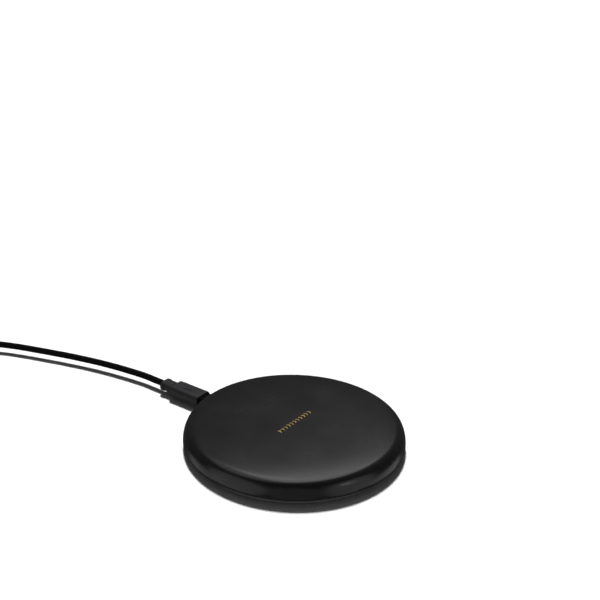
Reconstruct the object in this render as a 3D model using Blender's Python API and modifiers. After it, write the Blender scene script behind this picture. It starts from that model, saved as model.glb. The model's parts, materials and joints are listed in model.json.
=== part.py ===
"""Round wireless charging pad and its plug-in charging lead, built as separate pieces.

Frame: metres, +Z up. The origin is on the pad's axis at the plane the pad rests on, the port
faces +Y, and the lead leaves the plug along +Y. Every piece that moves hangs on an empty that
sits on the joint it moves about.
"""
import math

import bmesh
import bpy
from mathutils import Euler, Matrix, Vector

MM = 0.001
WELD = 1e-7                         # points closer than this are one point
GAP = 0.3 * MM                      # usual clearance between neighbouring pieces

# Pad, outside
PAD_RADIUS = 50.0 * MM              # at the widest line, where the two covers meet
PARTING_Z = 3.45 * MM
TOP_Z = 11.4 * MM
FLAT_RADIUS = 15.0 * MM             # dead flat middle of the top
CREASE_RADIUS = 45.0 * MM           # where the top turns over into the rounded edge
CROWN_DROP = 0.48 * MM              # how far the top falls by the crease
CROWN_POWER = 5
EDGE_REACH_OUT = 4.9 * MM           # the edge's curve handle at the crease
EDGE_REACH_UP = 0.6 * MM            # and its handle above the rim
UNDERSIDE_Z = 0.7 * MM
UNDERSIDE_RADIUS = 46.5 * MM        # where the flat underside turns up into the edge
ROUND_STEPS = 72
EDGE_STEPS = 9

# Covers, inside
WALL = 1.6 * MM
CEILING_Z = 9.5 * MM
CEILING_CORNER = 3.5 * MM
FLOOR_Z = 2.0 * MM
LIP_OUTER = 48.0 * MM
LIP_INNER = 46.9 * MM
LIP_TOP_Z = 4.6 * MM
LIP_FILLET = 1.0 * MM
CURVE_STEPS = 4                     # steps round the inner corner and the lower edge
RIB_OUTER = 21.5 * MM
RIB_INNER = 20.0 * MM
RIB_TOP_Z = 5.8 * MM
MAT_RADIUS = 43.5 * MM
MAT_THICKNESS = 0.9 * MM
MAT_RECESS_Z = MAT_THICKNESS + GAP

# Screws, on a circle under the mat
SCREW_CIRCLE = 40.0 * MM
SCREW_COUNT = 4
SCREW_FIRST_ANGLE = math.radians(45)
SCREW_HEAD_RADIUS = 1.9 * MM
SCREW_HEAD_Z = (1.3 * MM, 2.5 * MM)
SCREW_SHANK_RADIUS = 1.0 * MM
SCREW_TIP_Z = 8.0 * MM
BOSS_RADIUS = 3.5 * MM
BOSS_TOP_Z = 4.65 * MM
POST_RADIUS = 2.3 * MM
POST_BOTTOM_Z = 4.95 * MM

# Coil stack
FERRITE_RADIUS = 25.0 * MM
FERRITE_Z = (6.1 * MM, 7.0 * MM)
TAPE_RADII = (10.2 * MM, 23.2 * MM)
TAPE_Z = (7.1 * MM, 7.3 * MM)
COIL_TURNS = 10
COIL_INNER_RADIUS = 11.0 * MM
COIL_PITCH = 1.15 * MM
COIL_WIRE_RADIUS = 0.5 * MM
COIL_Z = 8.0 * MM
COIL_STEPS_PER_TURN = 24
COIL_LEAD_ANGLE = math.radians(150)
LEAD_Z = 6.55 * MM
LEAD_END_RADIUS = 28.0 * MM

# Circuit board
BOARD_RADII = (28.6 * MM, 46.2 * MM)
BOARD_Z = (5.5 * MM, 6.5 * MM)
PART_LIFT = 0.1 * MM                # solder height under each part on the board

# Status light: a lamp on the board and a clear bar over it that runs out through the edge
LED_ANGLE = math.radians(-118)
LED_SIZE = (3.0 * MM, 1.4 * MM, 0.8 * MM)
LED_RADIUS = 44.0 * MM
LED_WINDOW = (5.0 * MM, 1.0 * MM)
LED_WINDOW_Z = 7.9 * MM
LED_GUIDE_RADII = (43.0 * MM, 48.75 * MM)
LED_GUIDE_GAP = 0.15 * MM

# Port and the plug that fits it, all on one axis along +Y
PORT_AXIS_Z = 3.9 * MM
PORT_MOUTH = (8.6 * MM, 3.36 * MM, 0.9 * MM)        # width, height, corner radius
PORT_SHELL = (7.75 * MM, 2.75 * MM, 0.9 * MM)
PORT_SHELL_Y = (43.2 * MM, 48.6 * MM)
PORT_POCKET_BEHIND = 0.7 * MM                       # free depth behind the port
PORT_INSERT = (6.4 * MM, 0.45 * MM, 1.5 * MM)
PORT_TONGUE = (2.8 * MM, 4.2 * MM, 0.35 * MM)
SHEET = 0.3 * MM                                    # sheet metal of the shells
PLUG_SHELL = (6.85 * MM, 1.85 * MM, 0.55 * MM)
PLUG_SHELL_Y = (44.0 * MM, 57.5 * MM)
COLLAR = (8.4 * MM, 4.4 * MM, 1.5 * MM)
COLLAR_Y = (50.8 * MM, 58.0 * MM)
OVERMOLD = (9.6 * MM, 5.6 * MM, 2.0 * MM)
OVERMOLD_Y = (54.0 * MM, 72.4 * MM)
NECK = (7.4 * MM, 4.8 * MM, 2.2 * MM)
NECK_END_Y = 79.0 * MM
PLUG_POCKET = (7.2 * MM, 2.4 * MM, 0.8 * MM)        # hollow behind the collar, round the shell's end
PLUG_POCKET_END_Y = 61.5 * MM
CARRIER_BODY = (5.4 * MM, 5.2 * MM, 1.0 * MM)       # across, along the plug, high
CARRIER_BODY_Y = 54.4 * MM
CARRIER_BLADE = (3.2 * MM, 7.8 * MM, 0.35 * MM)
CARRIER_BLADE_Y = 48.6 * MM
CARRIER_BLADE_DROP = 0.325 * MM
PLUG_STUB_START_Y = 61.8 * MM
LATCH_X = 2.25 * MM
LATCH_WIDTH = 0.6 * MM
LATCH_PIVOT_Y = 51.0 * MM
LATCH_ARM_DROP = (0.3 * MM, 0.55 * MM)              # top and bottom of the arm below the axis
LATCH_HOOK_DROP = 1.0 * MM
LATCH_SLOT_LENGTH = 1.9 * MM
LATCH_SLOT_DEPTH = 0.9 * MM

# Cable: the centreline on the table, with a hinge at every second waypoint
CABLE_RADIUS = 1.6 * MM
CABLE_BORE = CABLE_RADIUS + GAP
CABLE_WAYPOINTS = (
    (0.0, 81.5),
    (-0.3, 96.5),
    (-4.2, 121.0),
    (-12.0, 149.0),
    (-22.2, 176.0),
    (-38.0, 199.0),
    (-65.0, 209.0),
)
CABLE_SEGMENTS = ("cable_near", "cable_mid", "cable_far")
WAYPOINTS_PER_SEGMENT = 2
SAMPLES_PER_WAYPOINT = 4
CABLE_START_HEADING = math.radians(90)
CABLE_END_HEADING = math.radians(190)
CABLE_END_REACH = 25 * MM           # how far the end headings steer the centreline

# Plug at the far end; its own +Y runs from the cable to the tip
USB_NECK_RADIUS = 2.8 * MM
USB_NECK_Y = (2.5 * MM, 10.0 * MM)
USB_BODY = (15.4 * MM, 6.7 * MM, 2.2 * MM)
USB_BODY_Y = (9.5 * MM, 30.5 * MM)
USB_SHELL = (12.0 * MM, 4.5 * MM, 0.7 * MM)
USB_SHELL_Y = (22.0 * MM, 42.4 * MM)
USB_WINDOW = 2.2 * MM               # side of the square windows in the shell
USB_WINDOW_X = 2.9 * MM
USB_TONGUE_Y = (23.0 * MM, 41.6 * MM)
USB_TONGUE_WIDTH = 11.0 * MM
USB_TONGUE_HEIGHT = 1.5 * MM
USB_STUB_END_Y = 20.0 * MM
USB_CONTACT_COUNT = 4
USB_CONTACT_WIDTH = 1.1 * MM
USB_CONTACT_HEIGHT = 0.2 * MM
USB_CONTACT_LENGTHS = (9.0 * MM, 7.6 * MM)          # the outer pair and the inner pair
USB_CONTACT_SETBACKS = (1.0 * MM, 1.7 * MM)         # from the tongue's tip, in the same order
USB_CONTACT_PITCH = 2.3 * MM

PI = math.pi
ALONG_Y = (-PI / 2, 0, 0)           # turns a piece's own Z onto +Y
ALONG_X = (PI / 2, 0, PI / 2)       # turns a YZ outline's thickness onto +X


# ---------------------------------------------------------------- scene and materials

def clear_scene():
    for obj in list(bpy.data.objects):
        bpy.data.objects.remove(obj, do_unlink=True)
    for collection in list(bpy.data.collections):
        bpy.data.collections.remove(collection)


def new_collection(name):
    collection = bpy.data.collections.new(name)
    bpy.context.scene.collection.children.link(collection)
    return collection


def new_material(name, color, roughness, metallic=0.0):
    material = bpy.data.materials.new(name)
    material.use_nodes = True
    shader = material.node_tree.nodes["Principled BSDF"]
    shader.inputs["Base Color"].default_value = (*color, 1.0)
    shader.inputs["Roughness"].default_value = roughness
    shader.inputs["Metallic"].default_value = metallic
    return material


clear_scene()
PARTS = new_collection("wireless_charging_pad")
CUTTERS = new_collection("cutters")

MATERIALS = {
    "cover": new_material("cover", (0.016, 0.015, 0.016), 0.45),
    "mat": new_material("mat", (0.02, 0.02, 0.021), 0.85),
    "mold": new_material("mold", (0.03, 0.03, 0.032), 0.5),
    "inner_mold": new_material("inner_mold", (0.006, 0.006, 0.006), 0.35),
    "jacket": new_material("jacket", (0.014, 0.014, 0.015), 0.55),
    "plated_steel": new_material("plated_steel", (0.62, 0.62, 0.63), 0.28, 1.0),
    "screw_steel": new_material("screw_steel", (0.35, 0.35, 0.36), 0.4, 1.0),
    "gold": new_material("gold", (0.83, 0.62, 0.25), 0.25, 1.0),
    "litz": new_material("litz", (0.62, 0.27, 0.11), 0.45, 1.0),
    "ferrite": new_material("ferrite", (0.045, 0.043, 0.042), 0.6),
    "tape": new_material("tape", (0.55, 0.5, 0.38), 0.5),
    "board": new_material("board", (0.01, 0.09, 0.035), 0.4),
    "chip": new_material("chip", (0.02, 0.02, 0.022), 0.5),
    "ceramic": new_material("ceramic", (0.42, 0.33, 0.24), 0.5),
    "inductor": new_material("inductor", (0.11, 0.11, 0.12), 0.6),
    "contact_plastic": new_material("contact_plastic", (0.03, 0.03, 0.03), 0.5),
    "window": new_material("window", (0.3, 0.34, 0.42), 0.2),
    "led": new_material("led", (0.8, 0.78, 0.6), 0.3),
}


# ---------------------------------------------------------------- building blocks

def add_object(name, data, material=None, collection=None):
    obj = bpy.data.objects.new(name, data)
    (collection or PARTS).objects.link(obj)
    if material:
        data.materials.append(MATERIALS[material])
    return obj


def bake(obj):
    """Replace a curve or a modified mesh by its evaluated mesh: welded, and sharp at corners."""
    bpy.context.view_layer.update()
    evaluated = obj.evaluated_get(bpy.context.evaluated_depsgraph_get())
    mesh = bpy.data.meshes.new_from_object(evaluated)
    bm = bmesh.new()
    bm.from_mesh(mesh)
    bmesh.ops.remove_doubles(bm, verts=bm.verts, dist=WELD)
    bmesh.ops.recalc_face_normals(bm, faces=bm.faces)
    bm.to_mesh(mesh)
    bm.free()
    mesh.shade_smooth()
    mesh.set_sharp_from_angle(angle=math.radians(35))
    name = obj.name
    matrix = obj.matrix_world.copy()
    collection = obj.users_collection[0]
    bpy.data.objects.remove(obj, do_unlink=True)
    baked = add_object(name, mesh, collection=collection)
    mesh.name = name
    baked.matrix_world = matrix
    return baked


def turned(name, profile, material=None, location=(0, 0, 0), rotation=(0, 0, 0),
           steps=ROUND_STEPS, closed=False):
    """A solid of revolution about the object's Z. The (radius, z) profile runs down its
    outer side; a closed profile makes a ring."""
    mesh = bpy.data.meshes.new(name)
    bm = bmesh.new()
    points = [bm.verts.new((radius, 0, z)) for radius, z in profile]
    for first, second in zip(points, points[1:]):
        bm.edges.new((first, second))
    if closed:
        bm.edges.new((points[-1], points[0]))
    bm.to_mesh(mesh)
    bm.free()
    obj = add_object(name, mesh, material)
    obj.location = location
    obj.rotation_euler = rotation
    screw = obj.modifiers.new("turn", "SCREW")
    screw.steps = steps
    screw.render_steps = steps
    screw.use_merge_vertices = True
    screw.merge_threshold = WELD
    return bake(obj)


def cylinder(name, radius, z_range, material=None, location=(0, 0, 0), rotation=(0, 0, 0), steps=24):
    low, high = z_range
    profile = ((0, high), (radius, high), (radius, low), (0, low))
    return turned(name, profile, material, location, rotation, steps)


def ring(name, radii, z_range, material=None, steps=ROUND_STEPS):
    inner, outer = radii
    low, high = z_range
    profile = ((inner, high), (outer, high), (outer, low), (inner, low))
    return turned(name, profile, material, steps=steps, closed=True)


def box(name, size, center, material=None, bevel=0.0, angle=0.0):
    mesh = bpy.data.meshes.new(name)
    bm = bmesh.new()
    bmesh.ops.create_cube(bm, size=1.0)
    bmesh.ops.scale(bm, vec=Vector(size), verts=bm.verts)
    bm.to_mesh(mesh)
    bm.free()
    obj = add_object(name, mesh, material)
    obj.location = center
    obj.rotation_euler.z = angle
    if bevel:
        modifier = obj.modifiers.new("edges", "BEVEL")
        modifier.width = bevel
        modifier.segments = 1
    return obj


def rounded_outline(size, corner_steps=3):
    """Points of a rounded rectangle, (width, height, corner radius), about the origin."""
    width, height, radius = size
    outline = []
    for quadrant in range(4):
        sign_x = 1 if quadrant in (0, 3) else -1
        sign_y = 1 if quadrant < 2 else -1
        corner_x = sign_x * (width / 2 - radius)
        corner_y = sign_y * (height / 2 - radius)
        for step in range(corner_steps + 1):
            angle = PI / 2 * (quadrant + step / corner_steps)
            outline.append((corner_x + radius * math.cos(angle), corner_y + radius * math.sin(angle)))
    return outline


def grown(size, amount):
    """A rounded rectangle's size with every side moved out by an amount, inwards if negative."""
    width, height, radius = size
    return (width + 2 * amount, height + 2 * amount, radius + amount)


def extruded(name, outlines, depth_range, material=None, location=(0, 0, 0), rotation=ALONG_Y):
    """Flat outlines given thickness along the object's Z; an outline inside another is a hole."""
    low, high = depth_range
    curve = bpy.data.curves.new(name, "CURVE")
    curve.dimensions = "2D"
    curve.fill_mode = "BOTH"
    curve.extrude = (high - low) / 2
    for outline in outlines:
        spline = curve.splines.new("POLY")
        spline.points.add(len(outline) - 1)
        for point, (x, y) in zip(spline.points, outline):
            point.co = (x, y, 0, 1)
        spline.use_cyclic_u = True
    obj = add_object(name, curve, material)
    placed = Matrix.Translation(location) @ Euler(rotation).to_matrix().to_4x4()
    obj.matrix_world = placed @ Matrix.Translation((0, 0, (high + low) / 2))
    return bake(obj)


def tube(name, path, radius, material, round_end=False):
    """A round bar along a path; a round end is a half ball about the path's last point."""
    stations = [(Vector(point), 1.0) for point in path]
    if round_end:
        tip = stations[-1][0]
        heading = (tip - stations[-2][0]).normalized()
        for degrees in (30, 58, 82):
            angle = math.radians(degrees)
            stations.append((tip + heading * radius * math.sin(angle), math.cos(angle)))
    curve = bpy.data.curves.new(name, "CURVE")
    curve.dimensions = "3D"
    curve.bevel_depth = radius
    curve.bevel_resolution = 1
    curve.use_fill_caps = True
    spline = curve.splines.new("POLY")
    spline.points.add(len(stations) - 1)
    for point, (position, scale) in zip(spline.points, stations):
        point.co = (*position, 1)
        point.radius = scale
    return bake(add_object(name, curve, material))


def combine(target, tool, operation):
    """Join a tool to a piece (UNION) or cut it away (DIFFERENCE), keeping the tool as a guide."""
    if tool.name not in CUTTERS.objects:
        for collection in list(tool.users_collection):
            collection.objects.unlink(tool)
        CUTTERS.objects.link(tool)
    tool.hide_render = True
    tool.display_type = "WIRE"
    modifier = target.modifiers.new(tool.name, "BOOLEAN")
    modifier.operation = operation
    modifier.object = tool
    modifier.solver = "EXACT"


def polar(radius, angle, z=0.0):
    return Vector((radius * math.cos(angle), radius * math.sin(angle), z))


# ---------------------------------------------------------------- pad covers

def crown_z(radius):
    """Height of the top at a radius: flat in the middle, falling gently towards the crease."""
    outwards = max(0.0, radius - FLAT_RADIUS) / (CREASE_RADIUS - FLAT_RADIUS)
    return TOP_Z - CROWN_DROP * outwards ** CROWN_POWER


def edge_point(share):
    """A point of the rounded edge, from the crease at 0 to the rim at the widest line at 1."""
    slope = CROWN_POWER * CROWN_DROP / (CREASE_RADIUS - FLAT_RADIUS)
    start = Vector((CREASE_RADIUS, TOP_Z - CROWN_DROP))
    start_handle = start + EDGE_REACH_OUT * Vector((1, -slope))
    end = Vector((PAD_RADIUS, PARTING_Z + GAP / 2))
    end_handle = end + Vector((0, EDGE_REACH_UP))
    rest = 1 - share
    return tuple(start * rest ** 3 + start_handle * 3 * rest ** 2 * share
                 + end_handle * 3 * rest * share ** 2 + end * share ** 3)


def top_cover_profile():
    crown_radii = (FLAT_RADIUS, 27 * MM, 33 * MM, 38 * MM, 42 * MM)
    outside = [(0, TOP_Z)]
    outside += [(radius, crown_z(radius)) for radius in crown_radii]
    outside += [edge_point(step / EDGE_STEPS) for step in range(EDGE_STEPS + 1)]
    rim_z = PARTING_Z + GAP / 2
    inside = []
    for step in range(CURVE_STEPS + 1):
        angle = PI / 2 * step / CURVE_STEPS
        radius = PAD_RADIUS - WALL - CEILING_CORNER + CEILING_CORNER * math.cos(angle)
        inside.append((radius, rim_z + (CEILING_Z - rim_z) * math.sin(angle)))
    return outside + inside + [(0, CEILING_Z)]


def bottom_cover_profile():
    rim_z = PARTING_Z - GAP / 2
    inside = [
        (0, FLOOR_Z),
        (RIB_INNER, FLOOR_Z),
        (RIB_INNER, RIB_TOP_Z),
        (RIB_OUTER, RIB_TOP_Z),
        (RIB_OUTER, FLOOR_Z),
        (LIP_INNER - LIP_FILLET, FLOOR_Z),
        (LIP_INNER, FLOOR_Z + LIP_FILLET),
        (LIP_INNER, LIP_TOP_Z),
        (LIP_OUTER, LIP_TOP_Z),
        (LIP_OUTER, rim_z),
    ]
    outside = []
    for step in range(CURVE_STEPS + 1):
        angle = PI / 2 * step / CURVE_STEPS
        radius = UNDERSIDE_RADIUS + (PAD_RADIUS - UNDERSIDE_RADIUS) * math.cos(angle)
        outside.append((radius, rim_z - (rim_z - UNDERSIDE_Z) * math.sin(angle)))
    recess_radius = MAT_RADIUS + GAP
    recess = [(recess_radius, UNDERSIDE_Z), (recess_radius, MAT_RECESS_Z), (0, MAT_RECESS_Z)]
    return inside + outside + recess


def screw_positions():
    turn = math.tau / SCREW_COUNT
    return [polar(SCREW_CIRCLE, SCREW_FIRST_ANGLE + turn * index) for index in range(SCREW_COUNT)]


def port_cutter():
    """The rounded mouth in the wall, which runs inwards as the pocket of the port."""
    outline = rounded_outline(PORT_MOUTH)
    depth = (PORT_SHELL_Y[0] - PORT_POCKET_BEHIND, PAD_RADIUS + 2 * MM)
    return extruded("port_cutter", [outline], depth,
                    location=(0, 0, PORT_AXIS_Z))


def make_covers():
    top = turned("top_cover", top_cover_profile(), "cover")
    bottom = turned("bottom_cover", bottom_cover_profile(), "cover")
    for index, place in enumerate(screw_positions(), start=1):
        post = cylinder(f"post_{index}", POST_RADIUS, (POST_BOTTOM_Z, CEILING_Z + 0.4 * MM), location=place)
        post_bore = cylinder(f"post_bore_{index}", SCREW_SHANK_RADIUS + GAP,
                             (POST_BOTTOM_Z - 1 * MM, SCREW_TIP_Z + GAP), location=place, steps=16)
        combine(top, post, "UNION")
        combine(top, post_bore, "DIFFERENCE")
        boss = cylinder(f"boss_{index}", BOSS_RADIUS, (MAT_RECESS_Z + 0.4 * MM, BOSS_TOP_Z), location=place)
        shank_hole = cylinder(f"shank_hole_{index}", SCREW_SHANK_RADIUS + GAP,
                              (UNDERSIDE_Z, BOSS_TOP_Z + 1 * MM), location=place, steps=16)
        head_hole = cylinder(f"head_hole_{index}", SCREW_HEAD_RADIUS + GAP,
                             (UNDERSIDE_Z, SCREW_HEAD_Z[1] + GAP), location=place)
        combine(bottom, boss, "UNION")
        combine(bottom, shank_hole, "DIFFERENCE")
        combine(bottom, head_hole, "DIFFERENCE")
    port = port_cutter()
    combine(top, port, "DIFFERENCE")
    combine(bottom, port, "DIFFERENCE")
    window_length, window_height = LED_WINDOW
    window = box("window_cutter", (window_length, 8 * MM, window_height),
                 polar(PAD_RADIUS, LED_ANGLE, LED_WINDOW_Z), angle=LED_ANGLE + PI / 2)
    combine(top, window, "DIFFERENCE")
    return [top, bottom]


def make_mat():
    chamfer = 0.2 * MM
    profile = (
        (0, MAT_THICKNESS),
        (MAT_RADIUS, MAT_THICKNESS),
        (MAT_RADIUS, chamfer),
        (MAT_RADIUS - chamfer, 0),
        (0, 0),
    )
    return [turned("anti_slip_mat", profile, "mat", steps=48)]


def make_screws():
    head_low, head_high = SCREW_HEAD_Z
    drive_radius = 0.9 * MM
    profile = (
        (0, SCREW_TIP_Z),
        (0.4 * MM, SCREW_TIP_Z),
        (SCREW_SHANK_RADIUS, SCREW_TIP_Z - 1 * MM),
        (SCREW_SHANK_RADIUS, head_high),
        (SCREW_HEAD_RADIUS, head_high),
        (SCREW_HEAD_RADIUS, head_low),
        (drive_radius, head_low),
        (0, head_low + 0.6 * MM),
    )
    screws = []
    for index, place in enumerate(screw_positions(), start=1):
        screws.append(turned(f"cover_screw_{index}", profile, "screw_steel", location=place, steps=16))
    return screws


# ---------------------------------------------------------------- coil and electronics

def coil_path():
    """Outer lead, flat spiral inwards, then the inner lead back out through the ferrite slot."""
    outer_radius = COIL_INNER_RADIUS + COIL_TURNS * COIL_PITCH
    start = COIL_LEAD_ANGLE - math.radians(12)
    path = [
        polar(LEAD_END_RADIUS, start - math.radians(14), LEAD_Z),
        polar(FERRITE_RADIUS + 1.6 * MM, start - math.radians(12), LEAD_Z),
        polar(FERRITE_RADIUS + 1.0 * MM, start - math.radians(11), COIL_Z),
        polar(outer_radius + 0.6 * MM, start - math.radians(6), COIL_Z),
    ]
    steps = COIL_TURNS * COIL_STEPS_PER_TURN
    sweep = COIL_TURNS * math.tau + (COIL_LEAD_ANGLE - start)
    for step in range(steps + 1):
        share = step / steps
        radius = outer_radius + (COIL_INNER_RADIUS - outer_radius) * share
        path.append(polar(radius, start + sweep * share, COIL_Z))
    drop_radius = COIL_INNER_RADIUS - 1.8 * MM
    path += [
        polar(drop_radius, COIL_LEAD_ANGLE + math.radians(2), COIL_Z),
        polar(drop_radius - 0.2 * MM, COIL_LEAD_ANGLE, COIL_Z - 0.4 * MM),
        polar(drop_radius, COIL_LEAD_ANGLE, LEAD_Z),
        polar(LEAD_END_RADIUS, COIL_LEAD_ANGLE, LEAD_Z),
    ]
    return path


def make_coil_stack():
    ferrite = cylinder("ferrite_shield", FERRITE_RADIUS, FERRITE_Z, "ferrite", steps=48)
    slot_length = FERRITE_RADIUS - 5 * MM
    slot_width = 2 * (COIL_WIRE_RADIUS + GAP)
    slot = box("ferrite_slot", (slot_length, slot_width, 3 * MM),
               polar(FERRITE_RADIUS + 2 * MM - slot_length / 2, COIL_LEAD_ANGLE, FERRITE_Z[0]),
               angle=COIL_LEAD_ANGLE)
    combine(ferrite, slot, "DIFFERENCE")
    tape = ring("coil_tape", TAPE_RADII, TAPE_Z, "tape", steps=48)
    coil = tube("coil_winding", coil_path(), COIL_WIRE_RADIUS, "litz")
    sensor = box("coil_thermistor", (3.2 * MM, 2.0 * MM, 0.8 * MM), (0, 0, FERRITE_Z[1] + 0.5 * MM),
                 "chip", bevel=0.15 * MM)
    return [ferrite, tape, coil, sensor]


# Parts on the board: name, (tangential, radial, height) in mm, angle in degrees, radius in mm, look
BOARD_PARTS = (
    ("controller_chip", (5.0, 5.0, 0.9), 62, 36.0, "chip"),
    ("bridge_chip", (5.0, 4.0, 0.9), 112, 35.5, "chip"),
    ("resonant_capacitor_1", (3.2, 2.5, 1.8), 166, 31.5, "ceramic"),
    ("resonant_capacitor_2", (3.2, 2.5, 1.8), 173, 31.5, "ceramic"),
    ("resonant_capacitor_3", (3.2, 2.5, 1.8), 166, 36.0, "ceramic"),
    ("resonant_capacitor_4", (3.2, 2.5, 1.8), 173, 36.0, "ceramic"),
    ("input_capacitor", (3.2, 2.5, 2.0), 78, 41.5, "ceramic"),
    ("power_inductor", (6.0, 6.0, 2.2), 20, 35.0, "inductor"),
    ("crystal", (3.2, 2.5, 0.8), 48, 31.0, "plated_steel"),
    ("sense_resistor", (3.2, 1.6, 0.6), 100, 41.5, "chip"),
)


def make_electronics():
    board = ring("main_board", BOARD_RADII, BOARD_Z, "board", steps=60)
    for index, place in enumerate(screw_positions(), start=1):
        hole = cylinder(f"board_hole_{index}", POST_RADIUS + GAP, (BOARD_Z[0] - 1 * MM, BOARD_Z[1] + 1 * MM),
                        location=place, steps=16)
        combine(board, hole, "DIFFERENCE")
    pieces = [board]
    for name, size, degrees, radius, look in BOARD_PARTS:
        width, depth, height = (value * MM for value in size)
        angle = math.radians(degrees)
        center = polar(radius * MM, angle, BOARD_Z[1] + PART_LIFT + height / 2)
        pieces.append(box(name, (width, depth, height), center, look, bevel=0.12 * MM, angle=angle + PI / 2))
    led_center = polar(LED_RADIUS, LED_ANGLE, BOARD_Z[1] + PART_LIFT + LED_SIZE[2] / 2)
    pieces.append(box("status_led", LED_SIZE, led_center, "led", bevel=0.1 * MM, angle=LED_ANGLE + PI / 2))
    return pieces


def make_light_guide():
    """A clear bar over the lamp that runs out through the wall, almost flush with the edge."""
    window_length, window_height = LED_WINDOW
    inner, outer = LED_GUIDE_RADII
    size = (window_length - 2 * LED_GUIDE_GAP, outer - inner, window_height - 2 * LED_GUIDE_GAP)
    center = polar((inner + outer) / 2, LED_ANGLE, LED_WINDOW_Z)
    return [box("light_guide", size, center, "window", bevel=0.12 * MM, angle=LED_ANGLE + PI / 2)]


# ---------------------------------------------------------------- port and plug

def sleeve(name, outer, y_range, wall, material, z=PORT_AXIS_Z):
    """A rounded rectangular tube along +Y."""
    outlines = [rounded_outline(outer), rounded_outline(grown(outer, -wall))]
    return extruded(name, outlines, y_range, material, location=(0, 0, z))


def bar(name, size, y_range, material=None, z=PORT_AXIS_Z):
    """A rounded rectangular bar along +Y."""
    return extruded(name, [rounded_outline(size)], y_range, material, location=(0, 0, z))


def make_port():
    shell = sleeve("port_shell", PORT_SHELL, PORT_SHELL_Y, SHEET, "plated_steel")
    back = PORT_SHELL_Y[0] + 0.1 * MM
    insert = box("port_insert", PORT_INSERT, (0, back + PORT_INSERT[1] / 2, PORT_AXIS_Z), "contact_plastic")
    tongue = box("port_tongue", PORT_TONGUE,
                 (0, back + 0.2 * MM + PORT_TONGUE[1] / 2, PORT_AXIS_Z + 0.225 * MM))
    combine(insert, tongue, "UNION")
    return [shell, insert]


def make_overmold():
    overmold = bar("plug_overmold", OVERMOLD, OVERMOLD_Y, "mold")
    neck = bar("plug_neck", NECK, (OVERMOLD_Y[1] - 2 * MM, NECK_END_Y))
    collar_pocket = bar("collar_pocket", grown(COLLAR, GAP / 2),
                        (OVERMOLD_Y[0] - 1 * MM, COLLAR_Y[1] + GAP))
    shell_pocket = bar("shell_pocket", PLUG_POCKET, (OVERMOLD_Y[0], PLUG_POCKET_END_Y))
    cable_bore = cylinder("plug_cable_bore", CABLE_BORE, (PLUG_POCKET_END_Y - 0.5 * MM, NECK_END_Y + 1 * MM),
                          location=(0, 0, PORT_AXIS_Z), rotation=ALONG_Y, steps=16)
    combine(overmold, neck, "UNION")
    combine(overmold, collar_pocket, "DIFFERENCE")
    combine(overmold, shell_pocket, "DIFFERENCE")
    combine(overmold, cable_bore, "DIFFERENCE")
    return overmold


def make_plug():
    overmold = make_overmold()
    inner_hole = grown(PLUG_SHELL, GAP / 2)
    inner_mold = extruded("plug_inner_mold", [rounded_outline(COLLAR), rounded_outline(inner_hole)],
                          COLLAR_Y, "inner_mold", location=(0, 0, PORT_AXIS_Z))
    shell = sleeve("plug_shell", PLUG_SHELL, PLUG_SHELL_Y, SHEET, "plated_steel")
    for side, sign in (("left", -1), ("right", 1)):
        slot = box(f"latch_slot_{side}", (LATCH_WIDTH + GAP, LATCH_SLOT_LENGTH, LATCH_SLOT_DEPTH),
                   (sign * LATCH_X, PLUG_SHELL_Y[0] + LATCH_SLOT_LENGTH, PORT_AXIS_Z - PLUG_SHELL[1] / 2))
        combine(shell, slot, "DIFFERENCE")
    carrier = box("plug_contact_carrier", CARRIER_BODY, (0, CARRIER_BODY_Y, PORT_AXIS_Z),
                  "contact_plastic", bevel=0.1 * MM)
    carrier_blade = box("carrier_blade", CARRIER_BLADE,
                        (0, CARRIER_BLADE_Y, PORT_AXIS_Z - CARRIER_BLADE_DROP))
    combine(carrier, carrier_blade, "UNION")
    stub_path = [(0, PLUG_STUB_START_Y, PORT_AXIS_Z), (*cable_point(0), PORT_AXIS_Z)]
    stub = tube("plug_cable_stub", stub_path, CABLE_RADIUS, "jacket", round_end=True)
    return [overmold, inner_mold, shell, carrier, stub]


def make_latches():
    """Two flat springs in the plug shell, each with a hook that dips into its slot."""
    arm_high, arm_low = (PORT_AXIS_Z - drop for drop in LATCH_ARM_DROP)
    hook_low = PORT_AXIS_Z - LATCH_HOOK_DROP
    tip = PLUG_SHELL_Y[0] + 0.6 * MM
    outline = (
        (tip, arm_high),
        (tip, arm_low),
        (tip + 0.7 * MM, arm_low),
        (tip + 1.1 * MM, hook_low),
        (tip + 1.6 * MM, hook_low),
        (tip + 1.9 * MM, arm_low),
        (LATCH_PIVOT_Y, arm_low),
        (LATCH_PIVOT_Y, arm_high),
    )
    half = LATCH_WIDTH / 2
    latches = []
    for side, sign in (("left", -1), ("right", 1)):
        depth = (sign * LATCH_X - half, sign * LATCH_X + half)
        latches.append(extruded(f"plug_latch_{side}", [outline], depth, "plated_steel", rotation=ALONG_X))
    return latches


# ---------------------------------------------------------------- cable

def cable_point(index):
    x, y = CABLE_WAYPOINTS[index]
    return Vector((x * MM, y * MM))


def cable_curve(index, t):
    """A smooth curve through the waypoints, at share t of the way from one to the next."""
    last = len(CABLE_WAYPOINTS) - 1
    start = cable_point(index)
    end = cable_point(index + 1)
    if index > 0:
        before = cable_point(index - 1)
    else:
        before = start - polar(CABLE_END_REACH, CABLE_START_HEADING).xy
    if index + 1 < last:
        after = cable_point(index + 2)
    else:
        after = end + polar(CABLE_END_REACH, CABLE_END_HEADING).xy
    leave = (end - before) / 2
    arrive = (after - start) / 2
    return (start * (2 * t ** 3 - 3 * t ** 2 + 1) + leave * (t ** 3 - 2 * t ** 2 + t)
            + end * (3 * t ** 2 - 2 * t ** 3) + arrive * (t ** 3 - t ** 2))


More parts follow.
